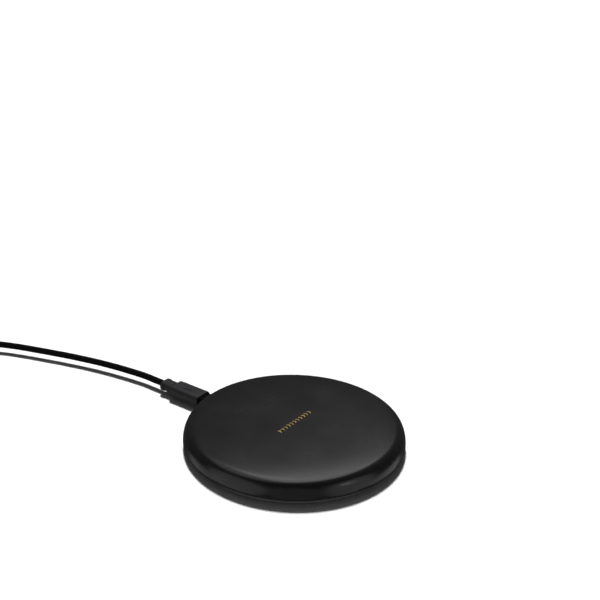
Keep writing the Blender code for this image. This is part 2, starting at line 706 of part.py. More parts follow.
def segment_path(number):
    """Centreline of one cable segment, from just past its hinge to the centre of the next."""
    first = number * WAYPOINTS_PER_SEGMENT
    points = []
    for index in range(first, first + WAYPOINTS_PER_SEGMENT):
        for sample in range(SAMPLES_PER_WAYPOINT):
            points.append(cable_curve(index, sample / SAMPLES_PER_WAYPOINT))
    points.append(cable_point(first + WAYPOINTS_PER_SEGMENT))
    heading = (points[1] - points[0]).normalized()
    points[0] = points[0] + heading * (CABLE_RADIUS + GAP)
    return [(*point, PORT_AXIS_Z) for point in points]


def make_cable():
    return [
        tube(name, segment_path(number), CABLE_RADIUS, "jacket", round_end=True)
        for number, name in enumerate(CABLE_SEGMENTS)
    ]


# ---------------------------------------------------------------- plug at the far end

def make_usb_overmold():
    overmold = bar("usb_a_overmold", USB_BODY, USB_BODY_Y, "mold", z=0)
    neck_start, neck_end = USB_NECK_Y
    neck_profile = (
        (0, neck_end),
        (USB_NECK_RADIUS, neck_end),
        (USB_NECK_RADIUS, neck_start + 1.6 * MM),
        (USB_NECK_RADIUS - 0.25 * MM, neck_start + 1.4 * MM),
        (USB_NECK_RADIUS - 0.25 * MM, neck_start),
        (0, neck_start),
    )
    neck = turned("usb_neck", neck_profile, rotation=ALONG_Y, steps=24)
    shell_pocket = bar("usb_shell_pocket", grown(USB_SHELL, GAP),
                       (USB_SHELL_Y[0] - GAP, USB_BODY_Y[1] + 1 * MM), z=0)
    cable_bore = cylinder("usb_cable_bore", CABLE_BORE, (0, USB_SHELL_Y[0]), rotation=ALONG_Y, steps=16)
    combine(overmold, neck, "UNION")
    combine(overmold, shell_pocket, "DIFFERENCE")
    combine(overmold, cable_bore, "DIFFERENCE")
    return overmold, [neck, shell_pocket, cable_bore]


def make_usb_shell():
    shell = sleeve("usb_a_shell", USB_SHELL, USB_SHELL_Y, SHEET, "plated_steel", z=0)
    windows = []
    for side, sign in (("left", -1), ("right", 1)):
        window = box(f"usb_window_{side}", (USB_WINDOW, USB_WINDOW, USB_SHELL[1] + 1.5 * MM),
                     (sign * USB_WINDOW_X, USB_SHELL_Y[1] - 6.2 * MM, 0))
        combine(shell, window, "DIFFERENCE")
        windows.append(window)
    return shell, windows


def make_usb_plug():
    """Built about its own frame, with the cable hinge at the origin; the caller places it."""
    overmold, overmold_tools = make_usb_overmold()
    shell, windows = make_usb_shell()
    tongue_length = USB_TONGUE_Y[1] - USB_TONGUE_Y[0]
    tongue_middle = sum(USB_TONGUE_Y) / 2
    inner_height = USB_SHELL[1] - 2 * SHEET
    tongue_z = inner_height / 2 - GAP / 2 - USB_TONGUE_HEIGHT / 2
    tongue = box("usb_a_tongue", (USB_TONGUE_WIDTH, tongue_length, USB_TONGUE_HEIGHT),
                 (0, tongue_middle, tongue_z), "contact_plastic", bevel=0.2 * MM)
    contact_z = tongue_z - USB_TONGUE_HEIGHT / 2 - 0.05 * MM - USB_CONTACT_HEIGHT / 2
    contacts = []
    for index in range(USB_CONTACT_COUNT):
        pair = 0 if index in (0, USB_CONTACT_COUNT - 1) else 1
        length = USB_CONTACT_LENGTHS[pair]
        x = (index - (USB_CONTACT_COUNT - 1) / 2) * USB_CONTACT_PITCH
        y = USB_TONGUE_Y[1] - USB_CONTACT_SETBACKS[pair] - length / 2
        contacts.append(box(f"usb_a_contact_{index + 1}", (USB_CONTACT_WIDTH, length, USB_CONTACT_HEIGHT),
                            (x, y, contact_z), "gold"))
    stub = tube("usb_a_cable_stub", [(0, CABLE_BORE, 0), (0, USB_STUB_END_Y, 0)], CABLE_RADIUS, "jacket")
    pieces = [overmold, shell, tongue, *contacts, stub]
    return pieces, [*overmold_tools, *windows]


# ---------------------------------------------------------------- joints and assembly

def add_joint(name, location, parent=None, heading=0.0):
    """An empty on a joint's axis. Pieces hung on it move with that joint."""
    empty = bpy.data.objects.new(name, None)
    empty.empty_display_size = 5 * MM
    PARTS.objects.link(empty)
    empty.location = location
    empty.rotation_euler.z = heading
    bpy.context.view_layer.update()
    if parent:
        hang([empty], parent)
    return empty


def hang(pieces, joint):
    """Parent pieces to a joint's empty and leave them where they are."""
    bpy.context.view_layer.update()
    back = joint.matrix_world.inverted()
    for piece in pieces:
        piece.parent = joint
        piece.matrix_parent_inverse = back


def seat(pieces, joint):
    """Parent pieces to a joint's empty and carry them into its frame."""
    for piece in pieces:
        piece.parent = joint


def assemble():
    pad_joint = add_joint("pad_frame", (0, 0, 0))
    pad_pieces = make_covers() + make_mat() + make_screws() + make_coil_stack()
    pad_pieces += make_electronics() + make_light_guide() + make_port()
    hang(pad_pieces, pad_joint)

    plug_joint = add_joint("plug_slide", (0, PORT_SHELL_Y[1], PORT_AXIS_Z), pad_joint)
    hang(make_plug(), plug_joint)
    latch_z = PORT_AXIS_Z - sum(LATCH_ARM_DROP) / 2
    latch_joint = add_joint("latch_flex", (0, LATCH_PIVOT_Y, latch_z), plug_joint)
    hang(make_latches(), latch_joint)

    previous = plug_joint
    for number, segment in enumerate(make_cable()):
        pivot = cable_point(number * WAYPOINTS_PER_SEGMENT)
        joint = add_joint(f"cable_bend_{number + 1}", (*pivot, PORT_AXIS_Z), previous)
        hang([segment], joint)
        previous = joint

    end = cable_point(len(CABLE_WAYPOINTS) - 1)
    usb_joint = add_joint("usb_a_bend", (*end, PORT_AXIS_Z), previous, CABLE_END_HEADING - PI / 2)
    pieces, tools = make_usb_plug()
    seat(pieces + tools, usb_joint)


assemble()
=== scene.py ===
"""Finished look of the wireless charging pad: smooth covers, moulded plugs, lead and materials."""

import json
import math

import bmesh
import bpy
from mathutils import Matrix, Vector


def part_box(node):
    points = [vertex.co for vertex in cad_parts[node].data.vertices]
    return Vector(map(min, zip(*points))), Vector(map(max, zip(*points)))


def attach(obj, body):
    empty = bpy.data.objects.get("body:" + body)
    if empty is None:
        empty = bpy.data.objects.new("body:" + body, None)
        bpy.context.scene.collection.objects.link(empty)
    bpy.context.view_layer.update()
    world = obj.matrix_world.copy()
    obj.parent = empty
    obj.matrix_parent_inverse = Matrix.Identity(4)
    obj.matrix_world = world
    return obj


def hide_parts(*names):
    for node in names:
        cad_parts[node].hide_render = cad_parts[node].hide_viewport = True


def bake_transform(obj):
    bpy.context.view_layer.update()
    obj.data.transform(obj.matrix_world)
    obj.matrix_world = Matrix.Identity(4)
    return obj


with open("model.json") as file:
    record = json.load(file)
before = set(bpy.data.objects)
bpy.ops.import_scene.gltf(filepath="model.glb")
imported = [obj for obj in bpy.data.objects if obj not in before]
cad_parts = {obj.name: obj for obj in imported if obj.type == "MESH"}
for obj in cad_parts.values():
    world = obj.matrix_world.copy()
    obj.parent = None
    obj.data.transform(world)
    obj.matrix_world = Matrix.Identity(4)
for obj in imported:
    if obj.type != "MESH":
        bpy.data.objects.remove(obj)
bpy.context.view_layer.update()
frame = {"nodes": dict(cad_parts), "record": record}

MM = 0.001
PI = math.pi

# Pad outline, the same curves as the CAD covers
pad_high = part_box("top_cover")[1]
base_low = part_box("bottom_cover")[0]
mat_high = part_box("anti_slip_mat")[1]
PAD_RADIUS = pad_high.x
TOP_Z = pad_high.z
PARTING_Z = 3.45 * MM
PARTING_GAP = 0.05 * MM
RIM_CHAMFER = 0.05 * MM
FLAT_RADIUS = 15.0 * MM
CREASE_RADIUS = 45.0 * MM
CROWN_DROP = 0.48 * MM
CROWN_POWER = 5
EDGE_REACH_OUT = 4.9 * MM
EDGE_REACH_UP = 0.6 * MM
EDGE_END_Z = 3.6 * MM
UNDERSIDE_RADIUS = 46.5 * MM
UNDERSIDE_Z = base_low.z
WALL = 1.6 * MM
CEILING_Z = 9.5 * MM
CEILING_CORNER = 3.5 * MM
FLOOR_Z = 2.0 * MM
LIP_RADII = (46.9 * MM, 48.0 * MM)
LIP_TOP_Z = 4.6 * MM
LIP_FILLET = (1.3 * MM, 1.0 * MM)     # along the floor and up the lip
MAT_RECESS_GAP = 0.15 * MM
FOIL = 0.04 * MM                      # thickness of the printed mark, which tops out at TOP_Z
SURFACE_Z = TOP_Z - FOIL
ROUND_SEGMENTS = 256

# Window of the light guide
WINDOW_ANGLE = math.radians(-118)
WINDOW_SIZE = (4.6 * MM, 0.8 * MM)
WINDOW_Z = 7.9 * MM
WINDOW_INNER_RADIUS = 45.4 * MM
WINDOW_DEPTH_BELOW = 0.05 * MM        # how far its face lies under the cover's

# Port and plug, on one axis along +Y
shell_low, shell_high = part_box("plug_shell")
overmold_low, overmold_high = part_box("plug_overmold")
collar_low, collar_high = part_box("plug_inner_mold")
AXIS_Z = (shell_low.z + shell_high.z) / 2
PORT_MOUTH = (8.6 * MM, 3.36 * MM, 0.9 * MM)
PORT_POCKET_Y = 41.0 * MM
COLLAR = (8.4 * MM, 4.4 * MM, 1.5 * MM)
COLLAR_HOLE = (6.95 * MM, 1.95 * MM, 0.6 * MM)
NECK_START_Y = 72.4 * MM
NECK = (7.4 * MM, 4.8 * MM, 2.2 * MM)

# Cable centreline, as in the CAD, with a hinge at every second waypoint
CABLE_RADIUS = 1.6 * MM
CABLE_BORE = CABLE_RADIUS + 0.08 * MM
CABLE_WAYPOINTS = (
    (0.0, 81.5),
    (-0.3, 96.5),
    (-4.2, 121.0),
    (-12.0, 149.0),
    (-22.2, 176.0),
    (-38.0, 199.0),
    (-65.0, 209.0),
)
CABLE_END_HEADING = math.radians(190)
CABLE_END_REACH = 25.0 * MM

# Far plug, in its own frame with +Y towards its tip
USB_BODY = (15.4 * MM, 6.7 * MM, 2.2 * MM)
USB_BODY_Y = (9.5 * MM, 30.5 * MM)
USB_NECK_START_Y = 2.5 * MM
USB_NECK_RADIUS = 2.8 * MM
USB_SHELL = (12.0 * MM, 4.5 * MM, 0.7 * MM)
USB_SHELL_Y = (22.0 * MM, 42.4 * MM)
USB_WINDOW = (2.2 * MM, 2.2 * MM, 0.2 * MM)
USB_WINDOW_X = 2.9 * MM
SHEET = 0.3 * MM

# Camera and lights, about the pad
CAMERA_AIM = Vector((20.9, 13.86, 59.8)) * MM
CAMERA_DISTANCE = 496.15 * MM
CAMERA_AZIMUTH = math.radians(-54.3)
CAMERA_ELEVATION = math.radians(23.88)
CAMERA_ROLL = math.radians(1.454)
CAMERA_LENS = 66.08
KEY_DIRECTION = (184, 34)             # azimuth and tilt from overhead, in degrees, as in towards()
KEY_STRENGTH = 4.9
KEY_ANGLE = math.radians(9)
FILL_DISTANCE = 1.0
FILLS = (                             # name, direction, size, radiance
    ("overhead", (170, 20), (0.72, 1.3), 2.85),
    ("upper_left", (-120, 18), (1.2, 1.05), 1.2),
    ("side_left", (-55, 92), (1.15, 1.3), 1.1),
    ("side_right", (55, 92), (0.95, 1.3), 1.0),
    ("side_right_core", (52, 77), (0.34, 0.34), 1.0),
    ("low_left", (-98, 114), (0.8, 0.45), 0.7),
    ("low_right", (100, 114), (0.9, 0.4), 0.9),
    ("front", (0, 95), (0.9, 1.3), 0.35),
    ("below", (0, 170), (1.7, 1.7), 0.3),
)
WORLD_DIM = 0.06


# ---------------------------------------------------------------- materials

class Surface:
    """A Principled material whose colour, roughness and relief come from procedural nodes."""

    def __init__(self, name, color, roughness, metallic=0.0, specular=0.5):
        self.material = bpy.data.materials.new(name)
        self.material.use_nodes = True
        self.nodes = self.material.node_tree.nodes
        self.links = self.material.node_tree.links
        self.shader = self.nodes["Principled BSDF"]
        self.shader.inputs["Metallic"].default_value = metallic
        self.shader.inputs["Specular IOR Level"].default_value = specular
        self.shader.inputs["Roughness"].default_value = roughness
        self.shader.inputs["Base Color"].default_value = (*color, 1)
        self.color = color
        self.roughness = roughness
        self.coordinates = self.add("ShaderNodeTexCoord").outputs["Object"]
        self.relief = None

    def add(self, kind, **settings):
        node = self.nodes.new(kind)
        for key, value in settings.items():
            setattr(node, key, value)
        return node

    def noise(self, size, detail=3.0, stretch=(1, 1, 1)):
        """Noise whose features measure about the given size in metres."""
        mapping = self.add("ShaderNodeMapping")
        mapping.inputs["Scale"].default_value = [s / size for s in stretch]
        texture = self.add("ShaderNodeTexNoise")
        texture.inputs["Scale"].default_value = 1.0
        texture.inputs["Detail"].default_value = detail
        self.links.new(self.coordinates, mapping.inputs["Vector"])
        self.links.new(mapping.outputs["Vector"], texture.inputs["Vector"])
        return texture.outputs["Fac"]

    def remap(self, factor, low, high, start=0.2, end=0.8):
        """A factor remapped smoothly from start..end to low..high."""
        node = self.add("ShaderNodeMapRange", interpolation_type="SMOOTHSTEP")
        node.inputs["From Min"].default_value = start
        node.inputs["From Max"].default_value = end
        node.inputs["To Min"].default_value = low
        node.inputs["To Max"].default_value = high
        self.links.new(factor, node.inputs["Value"])
        return node.outputs["Result"]

    def mix(self, factor, first, second):
        node = self.add("ShaderNodeMix", data_type="RGBA")
        for socket, value in ((6, first), (7, second)):
            node.inputs[socket].default_value = (*value, 1)
        self.links.new(factor, node.inputs[0])
        return node.outputs[2]

    def vary_color(self, size, spread):
        dark = tuple(c * (1 - spread) for c in self.color)
        light = tuple(min(1.0, c * (1 + spread)) for c in self.color)
        shade = self.mix(self.remap(self.noise(size), 0, 1), dark, light)
        self.links.new(shade, self.shader.inputs["Base Color"])
        return shade

    def vary_roughness(self, size, spread, stretch=(1, 1, 1)):
        low, high = self.roughness - spread, self.roughness + spread
        value = self.remap(self.noise(size, 4.0, stretch), low, high)
        self.links.new(value, self.shader.inputs["Roughness"])

    def emboss(self, height, depth, strength=1.0):
        """Add relief of a given depth in metres, on top of any relief already there."""
        bump = self.add("ShaderNodeBump")
        bump.inputs["Strength"].default_value = strength
        bump.inputs["Distance"].default_value = depth
        self.links.new(height, bump.inputs["Height"])
        if self.relief:
            self.links.new(self.relief, bump.inputs["Normal"])
        self.relief = bump.outputs["Normal"]
        self.links.new(self.relief, self.shader.inputs["Normal"])


def moulded_plastic(name, color, roughness, grain=0.16 * MM, depth=0.004 * MM, specular=0.5):
    surface = Surface(name, color, roughness, specular=specular)
    surface.vary_color(9 * MM, 0.06)
    surface.vary_roughness(14 * MM, 0.03)
    surface.emboss(surface.noise(grain, 2.0), depth)
    return surface.material


def soft_rubber(name, color, roughness):
    surface = Surface(name, color, roughness, specular=0.35)
    surface.vary_color(4 * MM, 0.14)
    surface.vary_roughness(6 * MM, 0.06)
    surface.emboss(surface.noise(0.09 * MM, 3.0), 0.01 * MM)
    return surface.material


def sheet_metal(name, color, roughness, stretch=(1, 1, 1)):
    surface = Surface(name, color, roughness, metallic=1.0)
    surface.vary_color(3 * MM, 0.06)
    surface.vary_roughness(0.8 * MM, 0.07, stretch)
    surface.emboss(surface.noise(0.12 * MM, 2.0, stretch), 0.002 * MM)
    return surface.material


def gold_foil(name):
    surface = Surface(name, (0.86, 0.6, 0.22), 0.28, metallic=1.0)
    surface.vary_color(0.9 * MM, 0.16)
    surface.vary_roughness(0.5 * MM, 0.09)
    surface.emboss(surface.noise(0.14 * MM, 2.0), 0.008 * MM)
    return surface.material


def cable_jacket(name):
    surface = Surface(name, (0.003, 0.003, 0.0031), 0.55, specular=0.03)
    surface.vary_color(5 * MM, 0.15)
    surface.vary_roughness(3 * MM, 0.07)
    surface.emboss(surface.noise(0.22 * MM, 3.0), 0.012 * MM)
    return surface.material


def circuit_board(name):
    surface = Surface(name, (0.012, 0.11, 0.045), 0.35)
    cells = surface.add("ShaderNodeTexVoronoi", feature="DISTANCE_TO_EDGE", distance="MANHATTAN")
    cells.inputs["Scale"].default_value = 1 / (1.6 * MM)
    surface.links.new(surface.coordinates, cells.inputs["Vector"])
    track = surface.remap(cells.outputs["Distance"], 1, 0, 0.05, 0.09)
    shade = surface.mix(track, surface.color, (0.03, 0.2, 0.08))
    surface.links.new(shade, surface.shader.inputs["Base Color"])
    surface.emboss(track, 0.02 * MM, 0.6)
    return surface.material


def litz_wire(name):
    surface = Surface(name, (0.62, 0.27, 0.11), 0.4, metallic=0.9)
    strands = surface.add("ShaderNodeTexWave", wave_type="BANDS", bands_direction="DIAGONAL")
    strands.inputs["Scale"].default_value = 1 / (0.5 * MM)
    strands.inputs["Distortion"].default_value = 1.5
    surface.links.new(surface.coordinates, strands.inputs["Vector"])
    shade = surface.mix(strands.outputs["Fac"], (0.42, 0.16, 0.06), (0.74, 0.36, 0.16))
    surface.links.new(shade, surface.shader.inputs["Base Color"])
    surface.emboss(strands.outputs["Fac"], 0.05 * MM)
    return surface.material


def sintered(name, color, roughness):
    surface = Surface(name, color, roughness)
    surface.vary_color(0.6 * MM, 0.25)
    surface.vary_roughness(1.5 * MM, 0.08)
    surface.emboss(surface.noise(0.1 * MM, 4.0), 0.02 * MM)
    return surface.material


def smoky_window(name):
    surface = Surface(name, (0.012, 0.012, 0.016), 0.16, specular=0.35)
    surface.vary_color(1.5 * MM, 0.15)
    surface.vary_roughness(2 * MM, 0.05)
    surface.emboss(surface.noise(0.3 * MM, 2.0), 0.003 * MM)
    return surface.material


MATERIALS = {
    "cover": moulded_plastic("cover_plastic", (0.0084, 0.0078, 0.0080), 0.25, specular=0.25),
    "mat": soft_rubber("mat_silicone", (0.02, 0.02, 0.021), 0.8),
    "mold": moulded_plastic("plug_plastic", (0.019, 0.019, 0.0205), 0.42, grain=0.12 * MM, specular=0.1),
    # The collar's near-black colour and almost bare sheen are partly its own black and partly painted shade
    # for the gap between plug and pad.
    "inner_mold": moulded_plastic("collar_plastic_painted_shade", (0.0015, 0.0015, 0.0015), 0.6, specular=0.02),
    "jacket": cable_jacket("jacket_rubber"),
    "plated_steel": sheet_metal("nickel_plate", (0.66, 0.65, 0.63), 0.27, (1, 0.15, 1)),
    "screw_steel": sheet_metal("zinc_plate", (0.45, 0.45, 0.46), 0.38),
    "gold": gold_foil("gold"),
    "litz": litz_wire("litz_copper"),
    "ferrite": sintered("ferrite", (0.045, 0.043, 0.042), 0.6),
    "tape": sintered("tape", (0.55, 0.5, 0.38), 0.5),
    "board": circuit_board("board_mask"),
    "chip": sintered("chip_epoxy", (0.02, 0.02, 0.022), 0.5),
    "ceramic": sintered("capacitor_ceramic", (0.42, 0.33, 0.24), 0.45),
    "inductor": sintered("inductor_core", (0.11, 0.11, 0.12), 0.6),
    "contact_plastic": moulded_plastic("contact_plastic", (0.02, 0.02, 0.02), 0.5),
    "window": smoky_window("window_plastic"),
    "led": sintered("led_package", (0.8, 0.78, 0.6), 0.3),
}


# ---------------------------------------------------------------- mesh building

def add_piece(name, bm, slot, smooth_angle=30):
    """A finished bmesh as an object, shaded smooth but sharp at real corners."""
    bmesh.ops.recalc_face_normals(bm, faces=bm.faces)
    mesh = bpy.data.meshes.new(name)
    bm.to_mesh(mesh)
    bm.free()
    mesh.shade_smooth()
    mesh.set_sharp_from_angle(angle=math.radians(smooth_angle))
    obj = bpy.data.objects.new(name, mesh)
    bpy.context.scene.collection.objects.link(obj)
    if slot:
        mesh.materials.append(MATERIALS[slot])
    return obj


def skin(rings, closed=False, cap=True):
    """Faces between successive rings of points; a ring of one point is a pole."""
    bm = bmesh.new()
    loops = [[bm.verts.new(point) for point in ring] for ring in rings]
    pairs = list(zip(loops, loops[1:]))
    if closed:
        pairs.append((loops[-1], loops[0]))
    for first, second in pairs:
        count = max(len(first), len(second))
        for i in range(count):
            j = (i + 1) % count
            corners = [first[i % len(first)], second[i % len(second)]]
            if len(second) > 1:
                corners.append(second[j])
            if len(first) > 1:
                corners.append(first[j])
            bm.faces.new(corners)
    if cap and not closed:
        for loop in (loops[0], loops[-1]):
            if len(loop) > 2:
                bm.faces.new(loop)
    return bm


def lathe(name, profile, slot, segments=ROUND_SEGMENTS, closed=False):
    """A turned piece about Z from (radius, z) points."""
    rings = []
    for radius, z in profile:
        if radius < 1e-9:
            rings.append([(0, 0, z)])
            continue
        turn = math.tau / segments
        rings.append([(radius * math.cos(turn * i), radius * math.sin(turn * i), z) for i in range(segments)])
    return add_piece(name, skin(rings, closed), slot)


def rounded_ring(size, corner_steps=10):
    """Points of a rounded rectangle, (width, height, corner radius), about the origin."""
    width, height, radius = size
    radius = min(radius, width / 2, height / 2)
    points = []
    for quadrant in range(4):
        sign_x = 1 if quadrant in (0, 3) else -1
        sign_z = 1 if quadrant < 2 else -1
        corner = Vector((sign_x * (width / 2 - radius), sign_z * (height / 2 - radius)))
        for step in range(corner_steps + 1):
            angle = PI / 2 * (quadrant + step / corner_steps)
            points.append(corner + radius * Vector((math.cos(angle), math.sin(angle))))
    return points


def round_section(radius):
    return (2 * radius, 2 * radius, radius)


def grown(size, amount):
    width, height, radius = size
    return (width + 2 * amount, height + 2 * amount, max(radius + amount, 0.05 * MM))


def loft(name, stations, slot, axis_z=0.0, closed=False, corner_steps=10):
    """A piece along +Y through (y, section size) stations."""
    rings = []
    for y, size in stations:
        rings.append([(point.x, y, axis_z + point.y) for point in rounded_ring(size, corner_steps)])
    return add_piece(name, skin(rings, closed), slot)


def round_over(y, size, radius, towards, steps=5):
    """Stations that round the edge at an end face, from the face in to the full section.
    Towards is +1 where the body lies on the +Y side of the face, and -1 where it lies on the other."""
    stations = []
    for step in range(steps + 1):
        angle = PI / 2 * step / steps
        inset = radius * (1 - math.sin(angle))
        stations.append((y + towards * radius * (1 - math.cos(angle)), grown(size, -inset)))
    return stations


def prism(name, outline, low, high, slot=None):
    """A flat outline in XY given thickness from low to high along Z."""
    rings = [[(x, y, z) for x, y in outline] for z in (low, high)]
    return add_piece(name, skin(rings), slot)


def apply_boolean(target, tool, operation="DIFFERENCE"):
    modifier = target.modifiers.new("cut", "BOOLEAN")
    modifier.operation = operation
    modifier.object = tool
    modifier.solver = "EXACT"
    bpy.context.view_layer.update()
    evaluated = target.evaluated_get(bpy.context.evaluated_depsgraph_get())
    mesh = bpy.data.meshes.new_from_object(evaluated)
    target.modifiers.clear()
    target.data = mesh
    bpy.data.objects.remove(tool)
    mesh.shade_smooth()
    mesh.set_sharp_from_angle(angle=math.radians(30))


def polar(radius, angle, z=0.0):
    return Vector((radius * math.cos(angle), radius * math.sin(angle), z))


# ---------------------------------------------------------------- pad

def crown_z(radius):
    outwards = max(0.0, radius - FLAT_RADIUS) / (CREASE_RADIUS - FLAT_RADIUS)
    return SURFACE_Z - CROWN_DROP * outwards ** CROWN_POWER


def edge_point(share):
    """A point of the rounded edge, from the crease at 0 to the widest line at 1."""
    slope = CROWN_POWER * CROWN_DROP / (CREASE_RADIUS - FLAT_RADIUS)
    start = Vector((CREASE_RADIUS, crown_z(CREASE_RADIUS)))
    start_handle = start + EDGE_REACH_OUT * Vector((1, -slope))
    end = Vector((PAD_RADIUS, EDGE_END_Z))
    end_handle = end + Vector((0, EDGE_REACH_UP))
    rest = 1 - share
    return (start * rest ** 3 + start_handle * 3 * rest ** 2 * share
            + end_handle * 3 * rest * share ** 2 + end * share ** 3)


def stadium_bar(name, size, reach, angle, z, slot=None):
    """A bar with fully rounded short sides that points outwards at an angle round the pad."""
    width, height = size
    inner, outer = reach
    rings = []
    for radius in (inner, outer):
        ring = []
        for point in rounded_ring((width, height, height / 2)):
            ring.append(polar(radius, angle, z) + point.x * polar(1, angle + PI / 2) + Vector((0, 0, point.y)))
        rings.append(ring)
    return add_piece(name, skin(rings), slot)


def port_tool(name):
    rings = []
    for y in (PORT_POCKET_Y, PAD_RADIUS + 2 * MM):
        rings.append([(point.x, y, AXIS_Z + point.y) for point in rounded_ring(PORT_MOUTH)])
    return add_piece(name, skin(rings), None)


def make_top_cover():
    rim_z = PARTING_Z + PARTING_GAP / 2
    crown_steps = 26
    profile = [(0, SURFACE_Z), (FLAT_RADIUS / 2, SURFACE_Z)]
    for step in range(crown_steps):
        radius = FLAT_RADIUS + (CREASE_RADIUS - FLAT_RADIUS) * step / crown_steps
        profile.append((radius, crown_z(radius)))
    edge_steps = 30
    profile += [tuple(edge_point(step / edge_steps)) for step in range(edge_steps + 1)]
    profile.append((PAD_RADIUS - RIM_CHAMFER, rim_z))
    corner_steps = 8
    for step in range(corner_steps + 1):
        angle = PI / 2 * step / corner_steps
        radius = PAD_RADIUS - WALL - CEILING_CORNER + CEILING_CORNER * math.cos(angle)
        profile.append((radius, rim_z + (CEILING_Z - rim_z) * math.sin(angle)))
    profile.append((0, CEILING_Z))
    cover = lathe("pad_top_cover", profile, "cover")
    apply_boolean(cover, port_tool("port_cut"))
    window_reach = (44 * MM, PAD_RADIUS + 2 * MM)
    seat_size = tuple(side + 0.12 * MM for side in WINDOW_SIZE)
    apply_boolean(cover, stadium_bar("window_cut", seat_size, window_reach, WINDOW_ANGLE, WINDOW_Z))
    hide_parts("top_cover")
    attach(cover, "pad")


def make_base_cover():
    rim_z = PARTING_Z - PARTING_GAP / 2
    widest_z = rim_z - RIM_CHAMFER
    recess_radius = mat_high.x + MAT_RECESS_GAP
    lip_inner, lip_outer = LIP_RADII
    profile = [
        (0, FLOOR_Z),
        (lip_inner - LIP_FILLET[0], FLOOR_Z),
        (lip_inner, FLOOR_Z + LIP_FILLET[1]),
        (lip_inner, LIP_TOP_Z),
        (lip_outer, LIP_TOP_Z),
        (lip_outer, rim_z),
        (PAD_RADIUS - RIM_CHAMFER, rim_z),
    ]
    steps = 16
    for step in range(steps + 1):
        angle = PI / 2 * step / steps
        radius = UNDERSIDE_RADIUS + (PAD_RADIUS - UNDERSIDE_RADIUS) * math.cos(angle)
        profile.append((radius, widest_z - (widest_z - UNDERSIDE_Z) * math.sin(angle)))
    profile += [
        (recess_radius + 0.1 * MM, UNDERSIDE_Z),
        (recess_radius, UNDERSIDE_Z + 0.1 * MM),
        (recess_radius, mat_high.z + 0.1 * MM),
        (0, mat_high.z + 0.1 * MM),
    ]
    cover = lathe("pad_base_cover", profile, "cover")
    apply_boolean(cover, port_tool("port_cut"))
    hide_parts("bottom_cover")
    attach(cover, "pad")


def make_grip_mat():
    """Silicone disc with fine concentric ribs on its underside."""
    radius = mat_high.x
    groove_depth = 0.18 * MM
    rib_pitch = 1.5 * MM
    edge_flat = 3.0 * MM
    center_flat = 15.0 * MM
    profile = [(0, mat_high.z), (radius - 0.1 * MM, mat_high.z), (radius, mat_high.z - 0.1 * MM)]
    profile += [(radius, 0.25 * MM), (radius - 0.08 * MM, 0.08 * MM), (radius - 0.25 * MM, 0)]
    at = radius - edge_flat
    while at > center_flat:
        profile += [
            (at, 0),
            (at - 0.15 * MM, groove_depth),
            (at - 0.45 * MM, groove_depth),
            (at - 0.6 * MM, 0),
        ]
        at -= rib_pitch
    profile.append((0, 0))
    piece = lathe("grip_mat", profile, "mat", segments=128)
    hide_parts("anti_slip_mat")
    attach(piece, "pad")


def make_window():
    """Light guide whose outer face follows the rounded edge, a hair below it."""
    steps = 24
    edge = [edge_point(step / steps) for step in range(steps + 1)]
    face = [(point.x - WINDOW_DEPTH_BELOW, point.y) for point in edge]
    profile = [(0, edge[0].y), *face, (0, edge[-1].y)]
    body = lathe("window_body", profile, None)
    reach = (WINDOW_INNER_RADIUS, PAD_RADIUS + 1 * MM)
    bar = stadium_bar("light_window", WINDOW_SIZE, reach, WINDOW_ANGLE, WINDOW_Z, "window")
    apply_boolean(bar, body, "INTERSECT")
    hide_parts("light_guide")
    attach(bar, "pad")


def make_center_mark():
    """Generic printed mark: a row of thin gold chevrons across the middle."""
    length = 23.0 * MM
    half_height = 1.05 * MM
    stroke = 0.45 * MM
    reach = 0.75 * MM
    count = 11
    pitch = (length - stroke - reach) / (count - 1)
    bm = bmesh.new()
    for index in range(count):
        left = index * pitch - length / 2
        outline = (
            (left, -half_height),
            (left + stroke, -half_height),
            (left + stroke + reach, 0),
            (left + stroke, half_height),
            (left, half_height),
            (left + reach, 0),
        )
        lower = [bm.verts.new((x, y, SURFACE_Z - FOIL / 2)) for x, y in outline]
        upper = [bm.verts.new((x, y, TOP_Z)) for x, y in outline]
        bm.faces.new(upper)
        bm.faces.new(lower[::-1])
        for i in range(len(outline)):
            j = (i + 1) % len(outline)
            bm.faces.new((lower[i], lower[j], upper[j], upper[i]))
    mark = add_piece("center_mark", bm, "gold")
    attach(mark, "pad")


# ---------------------------------------------------------------- plug at the pad

def chevron(name, tip_y, arm, thickness, low, high):
    """A V-shaped arrow outline that points along -Y."""
    outline = [
        (0, tip_y),
        (arm, tip_y + arm),
        (arm, tip_y + arm + thickness),
        (0, tip_y + thickness),
        (-arm, tip_y + arm + thickness),
        (-arm, tip_y + arm),
    ]
    return prism(name, outline, low, high)


